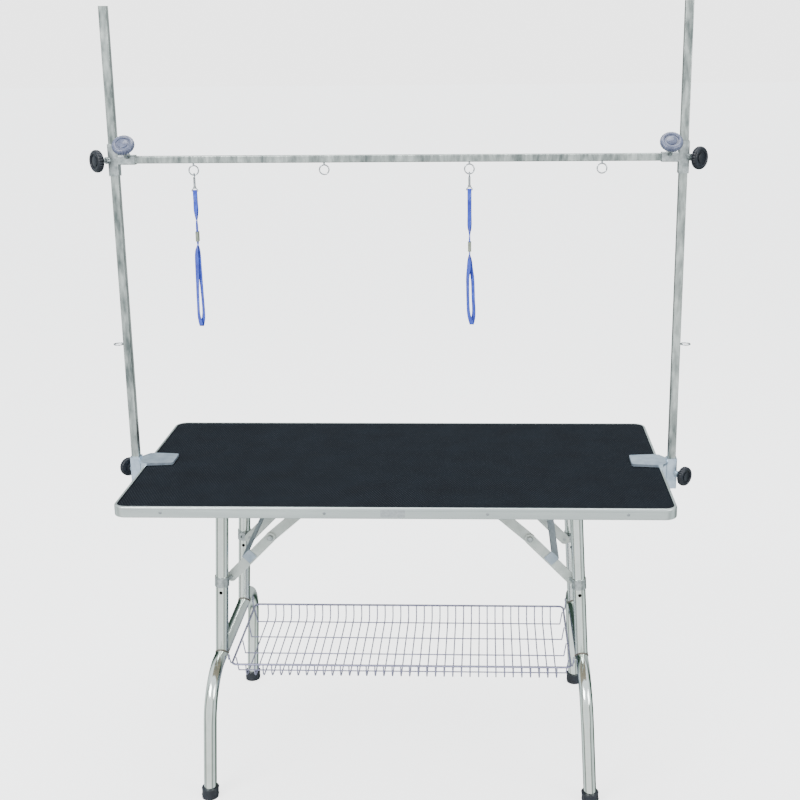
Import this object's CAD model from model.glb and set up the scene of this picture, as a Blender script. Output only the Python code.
# Looks of a folding grooming table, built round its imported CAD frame. Metres, +Z up.
import math

import bmesh
import bpy
from mathutils import Matrix, Vector


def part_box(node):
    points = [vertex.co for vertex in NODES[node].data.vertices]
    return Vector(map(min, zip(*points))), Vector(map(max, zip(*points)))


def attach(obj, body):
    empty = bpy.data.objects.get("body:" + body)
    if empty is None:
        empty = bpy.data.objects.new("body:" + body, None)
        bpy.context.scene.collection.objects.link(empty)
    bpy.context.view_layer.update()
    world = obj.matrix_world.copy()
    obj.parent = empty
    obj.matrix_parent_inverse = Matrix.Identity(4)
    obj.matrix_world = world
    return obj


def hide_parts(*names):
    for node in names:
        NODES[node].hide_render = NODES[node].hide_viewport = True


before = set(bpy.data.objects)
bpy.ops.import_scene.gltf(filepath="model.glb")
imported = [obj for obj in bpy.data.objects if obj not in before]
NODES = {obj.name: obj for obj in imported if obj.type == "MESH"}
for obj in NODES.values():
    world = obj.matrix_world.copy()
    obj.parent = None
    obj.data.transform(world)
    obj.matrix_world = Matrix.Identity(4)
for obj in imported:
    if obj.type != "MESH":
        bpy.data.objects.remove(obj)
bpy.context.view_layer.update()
SIDES = ("left", "right")
SIGNED_SIDES = (("left", -1), ("right", 1))
MM = 0.001
# strengths of the floor's glow to the camera, of the backdrop, and of the room that lights the table
FLOOR_GLOW, BACKDROP, ROOM = 2.5, 3.2, 1.55

# ---------------------------------------------------------------- camera
CAM_AT = Vector((0.1954, -2.7667, 1.6825))
CAM_YAW, CAM_PITCH, CAM_ROLL = math.radians(-2.206), math.radians(14.73), math.radians(-0.54)
CAM_LENS = 56.34
CAM_SHIFT = (-0.0485, -0.0475)

cam_data = bpy.data.cameras.new("camera")
cam_data.sensor_width = 36
cam_data.lens = CAM_LENS
cam_data.shift_x, cam_data.shift_y = CAM_SHIFT
cam_data.clip_end = 60
camera = bpy.data.objects.new("camera", cam_data)
bpy.context.scene.collection.objects.link(camera)
ahead = Vector((math.sin(CAM_YAW) * math.cos(CAM_PITCH), math.cos(CAM_YAW) * math.cos(CAM_PITCH),
                -math.sin(CAM_PITCH)))
level = Vector((math.cos(CAM_YAW), -math.sin(CAM_YAW), 0))
above = level.cross(ahead)
right = level * math.cos(CAM_ROLL) + above * math.sin(CAM_ROLL)
up = above * math.cos(CAM_ROLL) - level * math.sin(CAM_ROLL)
camera.matrix_world = Matrix.Translation(CAM_AT) @ Matrix((right, up, -ahead)).transposed().to_4x4()
bpy.context.scene.camera = camera


# ---------------------------------------------------------------- materials
def material(name):
    m = bpy.data.materials.new(name)
    m.use_nodes = True
    return m, m.node_tree.nodes, m.node_tree.links, m.node_tree.nodes["Principled BSDF"]


def node(nodes, kind, **values):
    n = nodes.new("ShaderNode" + kind)
    for key, value in values.items():
        if hasattr(n, key):
            setattr(n, key, value)
        else:
            n.inputs[key.replace("_", " ")].default_value = value
    return n


def ramp(nodes, stops):
    r = nodes.new("ShaderNodeValToRGB")
    while len(r.color_ramp.elements) < len(stops):
        r.color_ramp.elements.new(0.5)
    for e, (at, value) in zip(r.color_ramp.elements, stops):
        e.position = at
        e.color = (*value, 1) if isinstance(value, tuple) else (value, value, value, 1)
    return r


def surface(name, dark, light, rough, metallic=0.0, scale=40, bump=0.0, bump_scale=400, stretch=(1, 1, 1),
            detail=4, coat=0.0, specular=0.5, sheen=0.0):
    """A mottled surface: colour, roughness and fine bump all vary with noise in object space."""
    m, nodes, links, bsdf = material(name)
    coord = nodes.new("ShaderNodeTexCoord")
    mapping = nodes.new("ShaderNodeMapping")
    mapping.inputs["Scale"].default_value = stretch
    links.new(coord.outputs["Object"], mapping.inputs["Vector"])
    noise = node(nodes, "TexNoise", Scale=scale, Detail=detail, Roughness=0.6)
    links.new(mapping.outputs["Vector"], noise.inputs["Vector"])
    colour = ramp(nodes, ((0.32, dark), (0.68, light)))
    links.new(noise.outputs["Fac"], colour.inputs["Fac"])
    links.new(colour.outputs["Color"], bsdf.inputs["Base Color"])
    rough_map = nodes.new("ShaderNodeMapRange")
    rough_map.inputs["To Min"].default_value = rough[0]
    rough_map.inputs["To Max"].default_value = rough[1]
    links.new(noise.outputs["Fac"], rough_map.inputs["Value"])
    links.new(rough_map.outputs["Result"], bsdf.inputs["Roughness"])
    bsdf.inputs["Metallic"].default_value = metallic
    bsdf.inputs["Coat Weight"].default_value = coat
    bsdf.inputs["Specular IOR Level"].default_value = specular
    bsdf.inputs["Sheen Weight"].default_value = sheen
    if bump:
        fine = node(nodes, "TexNoise", Scale=bump_scale, Detail=3)
        links.new(mapping.outputs["Vector"], fine.inputs["Vector"])
        b = node(nodes, "Bump", Strength=bump, Distance=0.0005)
        links.new(fine.outputs["Fac"], b.inputs["Height"])
        links.new(b.outputs["Normal"], bsdf.inputs["Normal"])
    return m


MAT = {
    "leg_chrome": surface("leg_chrome", (0.66, 0.72, 0.66), (0.84, 0.90, 0.87), (0.08, 0.16), 1.0, 9,
                          0.06, 260),
    "galvanised": surface("galvanised", (0.28, 0.32, 0.32), (0.54, 0.58, 0.58), (0.28, 0.46), 0.9, 120,
                          0.25, 700),
    "post": surface("post_zinc", (0.15, 0.18, 0.175), (0.60, 0.65, 0.62), (0.24, 0.40), 0.9, 70, 0.2, 500,
                    (1, 1, 0.25)),
    "trim": surface("trim_aluminium", (0.44, 0.50, 0.49), (0.58, 0.64, 0.62), (0.26, 0.36), 0.75, 30, 0.12, 900,
                    (0.05, 1, 1)),
    "rivet": surface("rivet_aluminium", (0.26, 0.29, 0.30), (0.40, 0.43, 0.44), (0.25, 0.4), 0.9, 200),
    "board": surface("underside_board", (0.28, 0.23, 0.17), (0.43, 0.36, 0.28), (0.6, 0.8), 0, 60, 0.4, 400,
                     (0.1, 1, 1)),
    "rubber": surface("foot_rubber", (0.004, 0.006, 0.011), (0.013, 0.018, 0.028), (0.4, 0.55), 0, 60,
                      0.3, 900),
    "brace": surface("brace_paint", (0.46, 0.51, 0.48), (0.58, 0.63, 0.60), (0.38, 0.52), 0.25, 50, 0.2, 900),
    "link": surface("link_paint", (0.26, 0.33, 0.40), (0.38, 0.45, 0.52), (0.35, 0.5), 0.25, 50, 0.2, 900),
    "basket": surface("basket_wire", (0.24, 0.24, 0.36), (0.38, 0.38, 0.52), (0.3, 0.45), 0.5, 80, 0.1, 900),
    "knob": surface("knob_plastic", (0.005, 0.007, 0.011), (0.014, 0.018, 0.026), (0.3, 0.42), 0, 90, 0.2, 900,
                    specular=0.35),
    "chrome": surface("hook_chrome", (0.40, 0.43, 0.45), (0.58, 0.61, 0.63), (0.10, 0.2), 1.0, 120, 0.05, 700),
    "slider": surface("slider_steel", (0.20, 0.23, 0.18), (0.38, 0.41, 0.34), (0.3, 0.45), 0.8, 200, 0.2, 900),
    "jaw": surface("jaw_zinc", (0.42, 0.52, 0.63), (0.60, 0.70, 0.80), (0.26, 0.38), 0.8, 60, 0.15, 700),
    "weld": surface("weld_bead", (0.10, 0.08, 0.07), (0.30, 0.27, 0.24), (0.4, 0.6), 0.8, 400, 0.5, 900),
    "plug": surface("plug_plastic", (0.016, 0.018, 0.022), (0.035, 0.04, 0.046), (0.4, 0.5), 0, 90, 0.2, 900),
    "thread": surface("thread", (0.10, 0.16, 0.5), (0.25, 0.35, 0.8), (0.5, 0.7), 0, 600, 0.3, 2000),
    "knob_pale": surface("knob_blue_grey", (0.06, 0.07, 0.12), (0.13, 0.15, 0.23), (0.22, 0.34), 0, 90, 0.2,
                         900, coat=0.3),
    "plate": surface("blank_plate", (0.34, 0.37, 0.38), (0.46, 0.49, 0.50), (0.3, 0.45), 0.6, 200),
    "stud": surface("stud_rubber", (0.007, 0.010, 0.014), (0.016, 0.021, 0.027), (0.5, 0.6), 0, 90,
                    specular=0.15),
}


def mat_rubber():
    """Blue-black rubber whose fine moulded grain runs both ways across the top."""
    m = surface("mat_rubber", (0.0016, 0.0028, 0.005), (0.0042, 0.0068, 0.0105), (0.66, 0.82), 0, 14, 0.0,
                detail=8, specular=0.07)
    nodes, links = m.node_tree.nodes, m.node_tree.links
    bsdf = nodes["Principled BSDF"]
    coord = nodes.new("ShaderNodeTexCoord")
    cells = node(nodes, "TexVoronoi", Scale=420.0, Randomness=0.6)
    links.new(coord.outputs["Object"], cells.inputs["Vector"])
    b = node(nodes, "Bump", Strength=0.35, Distance=0.0006)
    links.new(cells.outputs["Distance"], b.inputs["Height"])
    links.new(b.outputs["Normal"], bsdf.inputs["Normal"])
    return m


def webbing():
    """Blue nylon: a herring-bone weave from two crossed waves, and a deeper blue where the noise dips."""
    m, nodes, links, bsdf = material("blue_webbing")
    coord = nodes.new("ShaderNodeTexCoord")
    noise = node(nodes, "TexNoise", Scale=60.0, Detail=4)
    links.new(coord.outputs["Object"], noise.inputs["Vector"])
    colour = ramp(nodes, ((0.3, (0.012, 0.028, 0.38)), (0.7, (0.04, 0.10, 0.66))))
    links.new(noise.outputs["Fac"], colour.inputs["Fac"])
    wave = node(nodes, "TexWave", Scale=260.0, Distortion=0.4)
    wave.wave_type = "BANDS"
    wave.bands_direction = "Z"
    cross = node(nodes, "TexWave", Scale=260.0, Distortion=0.4)
    cross.bands_direction = "DIAGONAL"
    for w in (wave, cross):
        links.new(coord.outputs["Object"], w.inputs["Vector"])
    both = node(nodes, "Math", operation="ADD")
    links.new(wave.outputs["Fac"], both.inputs[0])
    links.new(cross.outputs["Fac"], both.inputs[1])
    shade = node(nodes, "Mix", data_type="RGBA", blend_type="MULTIPLY")
    shade.inputs["Factor"].default_value = 0.45
    weave = ramp(nodes, ((0.1, 0.45), (0.9, 1.0)))
    links.new(both.outputs[0], weave.inputs["Fac"])
    links.new(colour.outputs["Color"], shade.inputs["A"])
    links.new(weave.outputs["Color"], shade.inputs["B"])
    links.new(shade.outputs["Result"], bsdf.inputs["Base Color"])
    b = node(nodes, "Bump", Strength=0.5, Distance=0.0004)
    links.new(both.outputs[0], b.inputs["Height"])
    links.new(b.outputs["Normal"], bsdf.inputs["Normal"])
    bsdf.inputs["Roughness"].default_value = 0.62
    bsdf.inputs["Sheen Weight"].default_value = 0.4
    return m


MAT["mat"] = mat_rubber()
MAT["web"] = webbing()


# ---------------------------------------------------------------- mesh helpers
def add(name, bm, mat, body, replaces=(), smooth=True, bevel=0.0):
    mesh = bpy.data.meshes.new(name)
    bmesh.ops.recalc_face_normals(bm, faces=bm.faces)
    bm.to_mesh(mesh)
    bm.free()
    if smooth:
        for p in mesh.polygons:
            p.use_smooth = True
        mesh.set_sharp_from_angle(angle=math.radians(38))
    mesh.materials.append(MAT[mat])
    obj = bpy.data.objects.new(name, mesh)
    bpy.context.scene.collection.objects.link(obj)
    if bevel:
        soften(obj, bevel)
    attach(obj, body)
    if replaces:
        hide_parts(*replaces)
    return obj


def soften(obj, width, segments=2):
    b = obj.modifiers.new("bevel", "BEVEL")
    b.width = width
    b.segments = segments
    b.limit_method = "ANGLE"
    b.angle_limit = math.radians(40)
    b.harden_normals = False


def place(at=(0, 0, 0), axis=(0, 0, 1)):
    """Matrix that stands local +Z along axis at a point."""
    turn = Vector(axis).normalized().to_track_quat("Z", "Y").to_matrix().to_4x4()
    return Matrix.Translation(Vector(at)) @ turn


def lathe(bm, profile, where=None, sides=48):
    """Turns (radius, height) points about local Z."""
    where = where or Matrix()
    rings = []
    for r, z in profile:
        if r < 1e-7:
            rings.append([bm.verts.new(where @ Vector((0, 0, z)))])
        else:
            rings.append([bm.verts.new(where @ Vector((r * math.cos(a), r * math.sin(a), z)))
                          for a in (2 * math.pi * k / sides for k in range(sides))])
    for a, b in zip(rings, rings[1:]):
        for k in range(sides):
            quad = [a[k % len(a)], a[(k + 1) % len(a)], b[(k + 1) % len(b)], b[k % len(b)]]
            quad = list(dict.fromkeys(quad))
            if len(quad) > 2:
                bm.faces.new(quad)


def tube(bm, path, radius, sides=16, closed=False):
    """Round wire along a path of Vectors, with capped ends unless it is closed."""
    path = [Vector(p) for p in path]
    count = len(path)
    rings, side = [], None
    for k, p in enumerate(path):
        before = path[(k - 1) % count] if closed or k else p
        after = path[(k + 1) % count] if closed or k < count - 1 else p
        t = (after - before).normalized()
        if side is None:
            side = t.orthogonal().normalized()
        side = (side - side.dot(t) * t).normalized()
        other = t.cross(side)
        rings.append([bm.verts.new(p + radius * (math.cos(a) * side + math.sin(a) * other))
                      for a in (2 * math.pi * j / sides for j in range(sides))])
    for a, b in zip(rings, rings[1:] + ([rings[0]] if closed else [])):
        for j in range(sides):
            bm.faces.new((a[j], a[(j + 1) % sides], b[(j + 1) % sides], b[j]))
    if not closed:
        bm.faces.new(rings[0])
        bm.faces.new(rings[-1])


def centre(node_name):
    lo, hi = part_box(node_name)
    return (Vector(lo) + Vector(hi)) / 2


# ---------------------------------------------------------------- nooses
# Each route starts and ends at the eye: millimetres sideways from the leash ring, in depth and below
# the ring's centre, then the turn of the flat web in degrees.
LEFT_ROUTE = [
    (0, -2.2, -53, 0), (0, -2.2, -72, 0), (-0.8, -2, -88, -20), (-1.1, -1.4, -100, -50),
    (-0.95, -0.6, -112, -78), (-0.95, 0, -122, -90), (-0.95, 0, -136, -90), (-0.95, 0, -158, -90),
    (-1.3, -0.8, -168, -72), (-3.6, -1.6, -180, -38), (-4.4, -1.8, -196, -20), (-4.8, -1.8, -216, -18),
    (-5.4, -1.6, -236, -24), (-6.2, -1, -256, -32), (-7, -0.6, -276, -38), (-7.5, 0, -300, -41),
    (-7.7, 0, -320, -40), (-6.6, -1.2, -332, -30), (-4.4, -2.4, -343, -18), (-2.7, -2.4, -350, -10),
    (-2, 0, -353, -5), (-1.3, 2.4, -350, -10), (0.6, 2.4, -343, -18), (3, 1.2, -332, -30),
    (4, 0, -320, -40), (3.8, 0, -300, -41), (3, 0.6, -276, -38), (2.2, 1, -256, -32),
    (1.4, 1.6, -236, -24), (0.8, 1.8, -216, -18), (0.6, 1.8, -196, -20), (0.8, 1.6, -180, -38),
    (1.1, 0.8, -168, -72), (0.95, 0, -158, -90), (0.95, 0, -136, -90), (0.95, 0, -122, -90),
    (0.95, 0.6, -112, -78), (1.1, 1.4, -100, -50), (0.8, 2, -88, -20), (0, 2.2, -72, 0), (0, 2.2, -53, 0)
]
RIGHT_ROUTE = [
    (0, -2.2, -53, 0), (0, -2.2, -75, 0), (0, -2.2, -100, 0), (-0.4, -2.1, -116, -15),
    (-1.2, -1.6, -130, -50), (-0.95, -0.6, -141, -80), (-0.95, 0, -150, -90), (-0.95, 0, -186, -90),
    (-0.95, -0.8, -195, -68), (-1.2, -1.8, -205, -35), (-1.6, -2, -216, -20), (-3, -1.8, -228, -30),
    (-4.4, -1.2, -242, -40), (-4.6, -0.6, -260, -44), (-4.4, -0.4, -280, -46), (-4, 0, -300, -46),
    (-3.2, -0.4, -318, -42), (-1.2, -1.4, -331, -32), (1.6, -2.4, -341, -20), (3.6, -2.4, -347, -10),
    (4.4, 0, -350, -5), (5.2, 2.4, -347, -10), (7, 2.4, -340, -20), (8.8, 1.4, -328, -30),
    (9, 0.4, -312, -36), (8.2, 0, -295, -38), (7.6, 0.4, -275, -36), (7, 1, -255, -34),
    (5.6, 1.6, -238, -30), (3.8, 1.9, -227, -26), (2.2, 2, -216, -20), (1.6, 1.8, -205, -35),
    (0.95, 0.8, -195, -68), (0.95, 0, -186, -90), (0.95, 0, -150, -90), (0.95, 0.6, -141, -80),
    (1.2, 1.6, -130, -50), (0.4, 2.1, -116, -15), (0, 2.2, -100, 0), (0, 2.2, -75, 0), (0, 2.2, -53, 0)
]
WEB_W, WEB_T = 0.0095, 0.0016
RING_OUTER_R = 0.012
EYE_DROP, EYE_WRAP_R = 0.046, 0.0022
STITCH_HALF_W, STITCH_H, STITCH_DROP, STITCH_R = 0.0031, 0.011, 0.004, 0.00022


def smooth(points, steps):
    """Catmull-Rom curve through the points."""
    out = []
    for k in range(len(points) - 1):
        p0, p1, p2, p3 = (points[min(max(j, 0), len(points) - 1)] for j in (k - 1, k, k + 1, k + 2))
        for n in range(steps):
            t = n / steps
            out.append(tuple(0.5 * (2 * b + (c - a) * t + (2 * a - 5 * b + 4 * c - d) * t * t
                                    + (3 * b - a - 3 * c + d) * t ** 3)
                             for a, b, c, d in zip(p0, p1, p2, p3)))
    return out + [tuple(points[-1])]


def web_frames(route, ring):
    """(centre, across, out of the face) at each step of a smoothed route."""
    points = smooth([tuple(map(float, p)) for p in route], 5)
    places = [ring + Vector(p[:3]) * MM for p in points]
    frames = []
    for k, p in enumerate(places):
        along = (places[min(k + 1, len(places) - 1)] - places[max(k - 1, 0)]).normalized()
        turn = math.radians(points[k][3])
        across = Vector((math.cos(turn), math.sin(turn), 0))
        across = (across - across.dot(along) * along).normalized()
        frames.append((p, across, along.cross(across)))
    return frames


def webbing_band(name, route, ring, body, cad_node):
    """Flat woven web with rounded selvedges, standing slightly proud along both edges."""
    section = [(0.5, 0.28), (0.46, 0.5), (0.38, 0.44), (-0.38, 0.44), (-0.46, 0.5), (-0.5, 0.28),
               (-0.5, -0.28), (-0.46, -0.5), (-0.38, -0.44), (0.38, -0.44), (0.46, -0.5), (0.5, -0.28)]
    bm = bmesh.new()
    frames = web_frames(route, ring)
    rings = [[bm.verts.new(c + a * u * WEB_W + b * v * WEB_T) for u, v in section] for c, a, b in frames]
    for r0, r1 in zip(rings, rings[1:]):
        for j in range(len(section)):
            bm.faces.new((r0[j], r0[(j + 1) % len(section)], r1[(j + 1) % len(section)], r1[j]))
    bm.faces.new(rings[0])
    bm.faces.new(rings[-1])
    obj = add(name, bm, "web", body, (cad_node,))
    return frames


def noose(side, route):
    ring = Vector((centre(f"{side}_snap_hook").x, 0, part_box("bar_rings")[0][2] + RING_OUTER_R))
    body = f"{side}_webbing"
    frames = webbing_band(f"{side}_noose_web", route, ring, body, f"{side}_web")
    # the sewn end: the web goes over the eye's bar, and both layers are stitched together below it
    top_front, top_back = frames[0], frames[-1]
    bar = Vector((top_front[0].x, 0, ring.z - EYE_DROP))
    below = Vector((0, 0, -STITCH_DROP))
    wrap = [top_front[0] + below] + [
        bar + Vector((0, -math.cos(a) * EYE_WRAP_R, math.sin(a) * EYE_WRAP_R)) for a in
        (math.pi * k / 8 for k in range(9))] + [top_back[0] + below]
    bm = bmesh.new()
    half_w, half_t = WEB_W / 2 - 0.0001, 0.0007
    rows = []
    for k, p in enumerate(wrap):
        along = (wrap[min(k + 1, len(wrap) - 1)] - wrap[max(k - 1, 0)]).normalized()
        face = along.cross(Vector((1, 0, 0))).normalized()
        rows.append([bm.verts.new(p + Vector((half_w * u, 0, 0)) + face * half_t * v)
                     for u, v in ((-1, -1), (1, -1), (1, 1), (-1, 1))])
    for r0, r1 in zip(rows, rows[1:]):
        for j in range(4):
            bm.faces.new((r0[j], r0[(j + 1) % 4], r1[(j + 1) % 4], r1[j]))
    bm.faces.new(rows[0])
    bm.faces.new(rows[-1])
    add(f"{side}_noose_fold", bm, "web", body, bevel=0.0002)
    bm = bmesh.new()
    for face_y, near in ((-1, top_front[0]), (1, top_back[0])):
        y = near.y + face_y * WEB_T * 0.5
        x = near.x
        corners = [(-1, 0), (1, 0), (1, -1), (-1, -1), (-1, 0), (1, -1), (1, 0), (-1, -1)]
        pts = [Vector((x + cx * STITCH_HALF_W, y, near.z - STITCH_DROP + cz * STITCH_H)) for cx, cz in corners]
        for a, b in zip(pts, pts[1:]):
            for n in range(6):
                tube(bm, [a.lerp(b, (n + 0.15) / 6), a.lerp(b, (n + 0.85) / 6)], STITCH_R, 6)
    add(f"{side}_noose_stitches", bm, "thread", body)


# ---------------------------------------------------------------- carried-over CAD nodes
def finish_node(names, mat, bevel=0.0):
    for name in names.split():
        obj = NODES[name]
        obj.data.materials.clear()
        obj.data.materials.append(MAT[mat])
        if bevel:
            soften(obj, bevel)


finish_node("table_board", "board")
finish_node("rubber_mat", "mat")
finish_node("blank_plate", "plate")
finish_node("leg_brackets leg_hinge_pins brace_brackets", "galvanised", 0.0005)
finish_node("basket_rim basket_floor_wires basket_side_wires basket_long_wires basket_hooks", "basket")
finish_node("overhead_bar", "post", 0.0006)
finish_node("bar_rings", "chrome")
for side in SIDES:
    finish_node(f"{side}_uprights {side}_foot_frame", "leg_chrome")
    finish_node(f"{side}_feet {side}_clamp_pad", "rubber", 0.001)
    finish_node(f"{side}_arm_lugs {side}_elbow_rivets {side}_clamp_screw", "galvanised", 0.0006)
    finish_node(f"{side}_lower_arms {side}_upper_arms", "brace", 0.0005)
    finish_node(f"{side}_link_bar", "link", 0.0005)
    finish_node(f"{side}_clamp", "jaw", 0.0012)
    finish_node(f"{side}_cross_fitting", "galvanised", 0.001)
    finish_node(f"{side}_post", "post", 0.0006)
    finish_node(f"{side}_post_ring {side}_snap_hook {side}_snap_bolt {side}_snap_eye", "chrome")
    finish_node(f"{side}_slider", "slider", 0.0004)

# ---------------------------------------------------------------- table top
def sweep_round_rect(bm, half_x, half_y, radius, profile, arc=10):
    """Sweeps (inset, height) points round a rectangle with round corners."""
    rings = []
    for inset, z in profile:
        r = max(radius - inset, 0.0005)
        ring = []
        for sx, sy, start in ((1, 1, 0), (-1, 1, 90), (-1, -1, 180), (1, -1, 270)):
            for k in range(arc + 1):
                a = math.radians(start + 90 * k / arc)
                ring.append(bm.verts.new((sx * (half_x - inset - r) + r * math.cos(a),
                                          sy * (half_y - inset - r) + r * math.sin(a), z)))
        rings.append(ring)
    for a, b in zip(rings, rings[1:] + rings[:1]):
        for k in range(len(a)):
            bm.faces.new((a[k], a[(k + 1) % len(a)], b[(k + 1) % len(b)], b[k]))


def arc_points(cx, cz, r, a0, a1, count):
    """Points on an arc, as (inset, height)."""
    return [(cx + r * math.cos(math.radians(a)), cz + r * math.sin(math.radians(a)))
            for a in (a0 + (a1 - a0) * k / count for k in range(count + 1))]


lo, hi = map(Vector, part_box("edge_trim"))
CORNER_R, LIP_W, TRIM_T = 0.028, 0.006, 0.0013
top, base = hi.z, lo.z
# outer face from the bottom up, a rolled lip over the mat, and the channel's inside
profile = [(LIP_W, base), *arc_points(0.0022, base + 0.0022, 0.0022, 270, 180, 5), (0.0, top - 0.0075),
           (0.0005, top - 0.0071), (0.0005, top - 0.0066), (0.0, top - 0.0062),
           *arc_points(0.0040, top - 0.0040, 0.0040, 180, 90, 8), (LIP_W, top - 0.0003),
           (LIP_W, top - TRIM_T), (TRIM_T, top - TRIM_T), (TRIM_T, base + TRIM_T), (LIP_W, base + TRIM_T)]
bm = bmesh.new()
sweep_round_rect(bm, hi.x, hi.y, CORNER_R, profile)
add("trim_profile", bm, "trim", "table", ("edge_trim",))

# rows of low studs moulded in the rubber
STUD_PITCH, STUD_W, STUD_H = 0.006, 0.0021, 0.0006
mat_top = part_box("rubber_mat")[1][2]
bm = bmesh.new()
span_x, span_y = hi.x - LIP_W - 0.003, hi.y - LIP_W - 0.003
nx, ny = int(span_x / STUD_PITCH), int(span_y / STUD_PITCH)
inner_r = CORNER_R - LIP_W - 0.003
for i in range(-nx, nx + 1):
    for j in range(-ny, ny + 1):
        x, y = i * STUD_PITCH + (STUD_PITCH / 2 if j % 2 else 0), j * STUD_PITCH
        over = Vector((max(abs(x) - span_x + inner_r, 0), max(abs(y) - span_y + inner_r, 0)))
        if abs(x) > span_x or over.length > inner_r:
            continue
        tip = bm.verts.new((x, y, mat_top + STUD_H))
        foot = [bm.verts.new((x + dx * STUD_W, y + dy * STUD_W, mat_top - 0.0001))
                for dx, dy in ((-1, 0), (0, -1), (1, 0), (0, 1))]
        for k in range(4):
            bm.faces.new((foot[k], foot[(k + 1) % 4], tip))
        bm.faces.new(foot)
add("mat_studs", bm, "stud", "table", smooth=False)


# ---------------------------------------------------------------- knobs
def knob_piece(side, kind, mount, axis, reach, size, body):
    """Moulded hand knob: domed rim with finger notches, a round groove in its face and a centre cap."""
    where = place(mount + Vector(axis).normalized() * reach, axis)
    r, t = size / 2, 0.007
    bm = bmesh.new()
    sides, notches, notch_depth = 144, 24, 0.0014
    profile = [(0.0, t - 0.0012), (r * 0.40, t - 0.0010), (r * 0.445, t - 0.0016), (r * 0.46, t - 0.0032),
               (r * 0.60, t - 0.0032), (r * 0.62, t - 0.0014), (r * 0.66, t - 0.0004), (r * 0.74, t),
               (r * 0.84, t - 0.0004), (r * 0.93, t - 0.0019), (r * 0.985, t - 0.0044), (r, 0.0005),
               (r * 0.99, -0.0035), (r * 0.95, -t + 0.0012), (r * 0.88, -t), (0.0095, -t),
               (0.0090, -t - 0.0042), (0.0080, -t - 0.005), (0.0, -t - 0.005)]
    rings = []
    for rad, z in profile:
        if rad == 0:
            rings.append([bm.verts.new(where @ Vector((0, 0, z)))])
            continue
        grip = max(0.0, (rad / r - 0.88) / 0.12)
        ring = []
        for k in range(sides):
            a = 2 * math.pi * k / sides
            dip = notch_depth * grip * max(0.0, math.cos(notches * a)) ** 2
            ring.append(bm.verts.new(where @ Vector(((rad - dip) * math.cos(a), (rad - dip) * math.sin(a), z))))
        rings.append(ring)
    for a, b in zip(rings, rings[1:]):
        for k in range(sides):
            face = list(dict.fromkeys((a[k % len(a)], a[(k + 1) % len(a)], b[(k + 1) % len(b)], b[k % len(b)])))
            bm.faces.new(face)
    add(f"{side}_{kind}_grip", bm, "knob_pale" if kind == "bar_knob" else "knob", body,
        (f"{side}_{kind}",))
    bm = bmesh.new()
    stem, chamfer, pitch = 0.0039, 0.0006, 0.00125
    inner, hub = -reach + 0.0132, -t - 0.0045
    lathe(bm, [(0, inner), (stem - chamfer, inner), (stem, inner + chamfer), (stem, hub), (0, hub)], where, 24)
    turns = int((hub - inner) / pitch)
    thread = [where @ Vector((stem * math.cos(a), stem * math.sin(a),
                              inner + 0.001 + pitch * a / (2 * math.pi)))
              for a in (2 * math.pi * k / 20 for k in range(20 * (turns - 1)))]
    tube(bm, thread, 0.00035, 5)
    add(f"{side}_{kind}_stem", bm, "galvanised", body)


for side, sign in SIGNED_SIDES:
    post_axis = centre(f"{side}_post")
    bar_z = centre("overhead_bar").z
    socket_z = centre(f"{side}_socket_knob").z
    knob_piece(side, "height_knob", Vector((post_axis.x, 0, bar_z)), (sign, -1, 0), 0.043, 0.050,
               f"{side}_height_knob")
    knob_piece(side, "bar_knob", Vector((centre(f"{side}_bar_knob").x, 0, bar_z)), (0, -1, 1), 0.050, 0.050,
               f"{side}_bar_knob")
    knob_piece(side, "socket_knob", Vector((post_axis.x, 0, socket_z)), (sign, -sign, 0), 0.039, 0.045,
               f"{side}_socket_knob")

noose("left", LEFT_ROUTE)
noose("right", RIGHT_ROUTE)

# ---------------------------------------------------------------- small metalwork
LEG_R, FOOT_R, ELBOW_HEAD_R = 0.0145, 0.019, 0.0066
BRACE_X, BRACE_Y, PIN_REACH = 0.173, 0.088, 0.02
SPLAY = math.radians(3)
PIVOT_X, PIVOT_Z = 0.3974, 0.668
UPRIGHT_Y = 0.138
CROSS_DROP = 0.3785


def leg_frame(sign):
    """Matrix of a leg's own frame: the fold pivot is the origin and the leg runs down local -Z."""
    return Matrix.Translation((sign * PIVOT_X, 0, PIVOT_Z)) @ Matrix.Rotation(-sign * SPLAY, 4, "Y")


def dome(bm, at, axis, radius, height, sides=24):
    """Low round rivet or screw head standing on a face."""
    lathe(bm, [(radius, 0), (radius * 0.98, height * 0.35), (radius * 0.86, height * 0.68),
               (radius * 0.6, height * 0.9), (0, height)], place(at, axis), sides)


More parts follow.
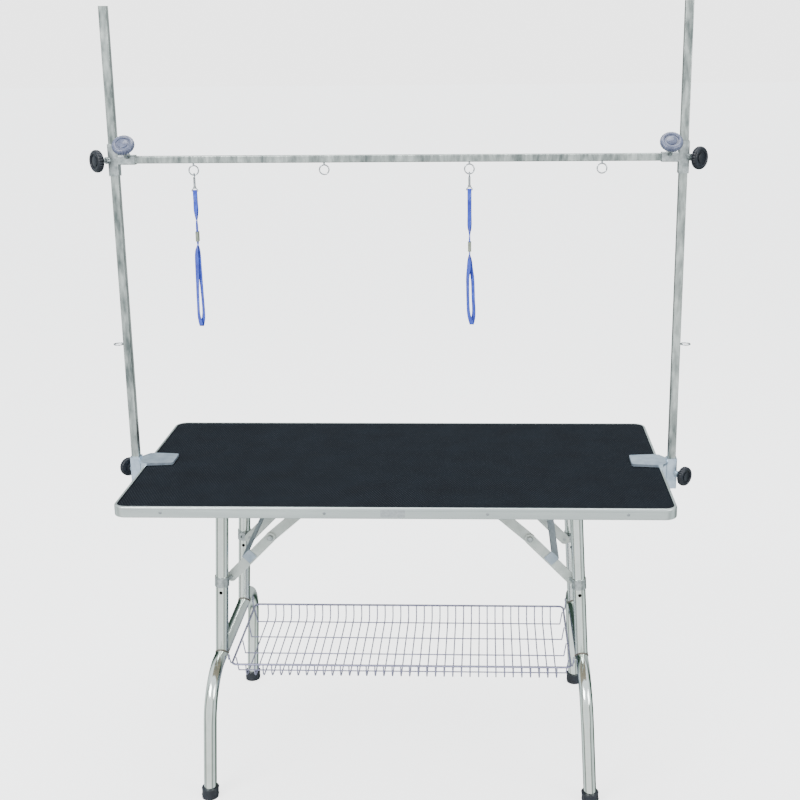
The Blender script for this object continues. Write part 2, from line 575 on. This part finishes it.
for side, sign in SIGNED_SIDES:
    local = leg_frame(sign)
    # weld beads where the uprights meet the cross tube
    bm = bmesh.new()
    for y0 in (-UPRIGHT_Y, UPRIGHT_Y):
        path = []
        for k in range(64):
            a = 2 * math.pi * k / 64
            ripple = 1 + 0.02 * math.sin(21 * a)
            path.append(local @ Vector((LEG_R * ripple * math.cos(a), y0 + LEG_R * ripple * math.sin(a),
                                        -CROSS_DROP + (LEG_R + 0.0006) * abs(math.sin(a)))))
        tube(bm, path, 0.0016, 8, closed=True)
    add(f"{side}_weld_beads", bm, "weld", f"{side}_leg")
    # bead rings moulded round the rubber feet
    bm = bmesh.new()
    for y0 in (-1, 1):
        y = y0 * (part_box(f"{side}_feet")[1][1] - FOOT_R)
        for z in (0.007, 0.0235):
            x = sign * (PIVOT_X + (PIVOT_Z - z) * math.tan(SPLAY))
            ring_path = [Vector((x + FOOT_R * math.cos(a), y + FOOT_R * math.sin(a), z))
                         for a in (2 * math.pi * k / 40 for k in range(40))]
            tube(bm, ring_path, 0.0009, 8, closed=True)
    add(f"{side}_foot_beads", bm, "rubber", f"{side}_leg")
    # rivet heads at the elbows of the braces
    elbow = centre(f"{side}_elbow_rivets")
    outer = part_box(f"{side}_elbow_rivets")[1][1]
    bm = bmesh.new()
    for s in (-1, 1):
        dome(bm, (elbow.x, s * outer, elbow.z), (0, s, 0), ELBOW_HEAD_R, 0.0022)
    add(f"{side}_elbow_heads", bm, "galvanised", f"{side}_lower_brace")
    # black plug in the open top of the post
    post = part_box(f"{side}_post")
    cx, top = (post[0][0] + post[1][0]) / 2, post[1][2]
    half = (post[1][0] - post[0][0]) / 2
    bm = bmesh.new()
    levels = ((half - 0.0018, top - 0.008), (half - 0.0018, top - 0.0002), (half - 0.003, top - 0.00005))
    rings = [[bm.verts.new((cx + sx * h, sy * h, z)) for sx, sy in ((1, 1), (-1, 1), (-1, -1), (1, -1))]
             for h, z in levels]
    bm.faces.new(rings[0])
    for a, b in zip(rings, rings[1:]):
        for k in range(4):
            bm.faces.new((a[k], a[(k + 1) % 4], b[(k + 1) % 4], b[k]))
    bm.faces.new(rings[-1])
    add(f"{side}_post_plug", bm, "plug", f"{side}_post", bevel=0.0006)

# domed rivets in the edge trim
bm = bmesh.new()
lo, hi = map(Vector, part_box("trim_rivets"))
rivet_z = (lo.z + hi.z) / 2
for x in (-0.495, -0.145, 0.200, 0.495):
    for s in (-1, 1):
        dome(bm, (x, s * (hi.y - 0.0013), rivet_z), (0, s, 0), 0.0035, 0.0013)
add("trim_rivet_heads", bm, "rivet", "table", ("trim_rivets",))

# screws through the bracket plates into the board
bm = bmesh.new()
plate_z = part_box("leg_brackets")[1][2] - 0.0025
for sx in (-1, 1):
    for sy in (-1, 1):
        for dx in (-0.027, 0.027):
            for dy in (-0.0225, 0.0225):
                dome(bm, (sx * PIVOT_X + dx, sy * UPRIGHT_Y + dy, plate_z), (0, 0, -1), 0.0042, 0.0018)
        for dx in (-0.014, 0.010):
            dome(bm, (sx * (BRACE_X + dx), sy * BRACE_Y, plate_z), (0, 0, -1), 0.0038, 0.0017)
        for s in (-1, 1):
            dome(bm, (sx * PIVOT_X, sy * UPRIGHT_Y + s * PIN_REACH, PIVOT_Z), (0, s, 0), 0.0062, 0.0020)
add("bracket_screws", bm, "galvanised", "table")

# ---------------------------------------------------------------- stage
floor_mesh = bpy.data.meshes.new("floor")
floor_mesh.from_pydata([(-40, -40, 0), (40, -40, 0), (40, 40, 0), (-40, 40, 0)], [], [(0, 1, 2, 3)])
floor = bpy.data.objects.new("floor", floor_mesh)
bpy.context.scene.collection.objects.link(floor)
# a pale floor that melts into the backdrop; the bright metal reflects the room and not the floor
floor_mat, nodes, links, bsdf = material("pale_floor")
bsdf.inputs["Base Color"].default_value = (0.62, 0.63, 0.63, 1)
bsdf.inputs["Roughness"].default_value = 0.95
bsdf.inputs["Specular IOR Level"].default_value = 0.0
seen = nodes.new("ShaderNodeLightPath")
glow = node(nodes, "Emission", Strength=FLOOR_GLOW)
lit = nodes.new("ShaderNodeAddShader")
links.new(bsdf.outputs[0], lit.inputs[0])
links.new(glow.outputs[0], lit.inputs[1])
to_camera = nodes.new("ShaderNodeMixShader")
links.new(seen.outputs["Is Camera Ray"], to_camera.inputs[0])
links.new(bsdf.outputs[0], to_camera.inputs[1])
links.new(lit.outputs[0], to_camera.inputs[2])
clear = nodes.new("ShaderNodeBsdfTransparent")
floor_out = nodes.new("ShaderNodeMixShader")
links.new(seen.outputs["Is Glossy Ray"], floor_out.inputs[0])
links.new(to_camera.outputs[0], floor_out.inputs[1])
links.new(clear.outputs[0], floor_out.inputs[2])
links.new(floor_out.outputs[0], nodes["Material Output"].inputs["Surface"])
floor_mesh.materials.append(floor_mat)

world = bpy.data.worlds.new("world")
bpy.context.scene.world = world
world.use_nodes = True
nodes, links = world.node_tree.nodes, world.node_tree.links
# the backdrop is white to the camera; the light comes from a soft room, bright overhead and at the
# front with darker bands round the sides and back, so that the bright metal has something to show
plain = nodes["Background"]
plain.inputs["Color"].default_value = (1, 1, 1, 1)
plain.inputs["Strength"].default_value = BACKDROP
room = nodes.new("ShaderNodeBackground")
room.inputs["Strength"].default_value = ROOM
coord = nodes.new("ShaderNodeTexCoord")
split = nodes.new("ShaderNodeSeparateXYZ")
links.new(coord.outputs["Generated"], split.inputs[0])
slant = node(nodes, "Math", operation="MULTIPLY_ADD")
links.new(split.outputs["X"], slant.inputs[0])
slant.inputs[1].default_value = 0.28
links.new(split.outputs["Y"], slant.inputs[2])
round_room = nodes.new("ShaderNodeMapRange")
round_room.inputs["From Min"].default_value = -1.0
round_room.inputs["From Max"].default_value = 1.0
links.new(slant.outputs[0], round_room.inputs["Value"])
walls = ramp(nodes, ((0.0, (0.86, 0.90, 0.92)), (0.17, (1.0, 1.0, 1.0)), (0.27, (0.06, 0.09, 0.08)),
                     (0.40, (0.62, 0.68, 0.68)), (0.62, (0.74, 0.80, 0.82)), (0.72, (0.34, 0.40, 0.38)),
                     (0.82, (0.02, 0.04, 0.03)), (0.91, (0.03, 0.05, 0.04)), (1.0, (0.42, 0.46, 0.46))))
links.new(round_room.outputs["Result"], walls.inputs["Fac"])
overhead = nodes.new("ShaderNodeMapRange")
overhead.interpolation_type = "SMOOTHSTEP"
overhead.inputs["From Min"].default_value = 0.30
overhead.inputs["From Max"].default_value = 0.75
links.new(split.outputs["Z"], overhead.inputs["Value"])
tones = node(nodes, "Mix", data_type="RGBA")
links.new(overhead.outputs["Result"], tones.inputs["Factor"])
links.new(walls.outputs["Color"], tones.inputs["A"])
tones.inputs["B"].default_value = (0.92, 0.96, 1.0, 1)
links.new(tones.outputs["Result"], room.inputs["Color"])
seen = nodes.new("ShaderNodeLightPath")
either = nodes.new("ShaderNodeMixShader")
links.new(seen.outputs["Is Camera Ray"], either.inputs[0])
links.new(room.outputs[0], either.inputs[1])
links.new(plain.outputs[0], either.inputs[2])
links.new(either.outputs[0], nodes["World Output"].inputs["Surface"])


def lamp(name, at, towards, size, power, colour=(1, 1, 1)):
    data = bpy.data.lights.new(name, "AREA")
    data.shape = "RECTANGLE"
    data.size, data.size_y = size
    data.energy = power
    data.color = colour
    obj = bpy.data.objects.new(name, data)
    bpy.context.scene.collection.objects.link(obj)
    obj.matrix_world = place(at, Vector(at) - Vector(towards))


lamp("key", (-2.2, -2.8, 3.2), (0, 0, 0.7), (2.0, 1.6), 150)
lamp("fill", (2.8, -2.2, 2.2), (0, 0, 0.7), (1.6, 1.6), 60)
lamp("top", (0, 0.4, 3.6), (0, 0, 0.7), (2.4, 1.4), 70)
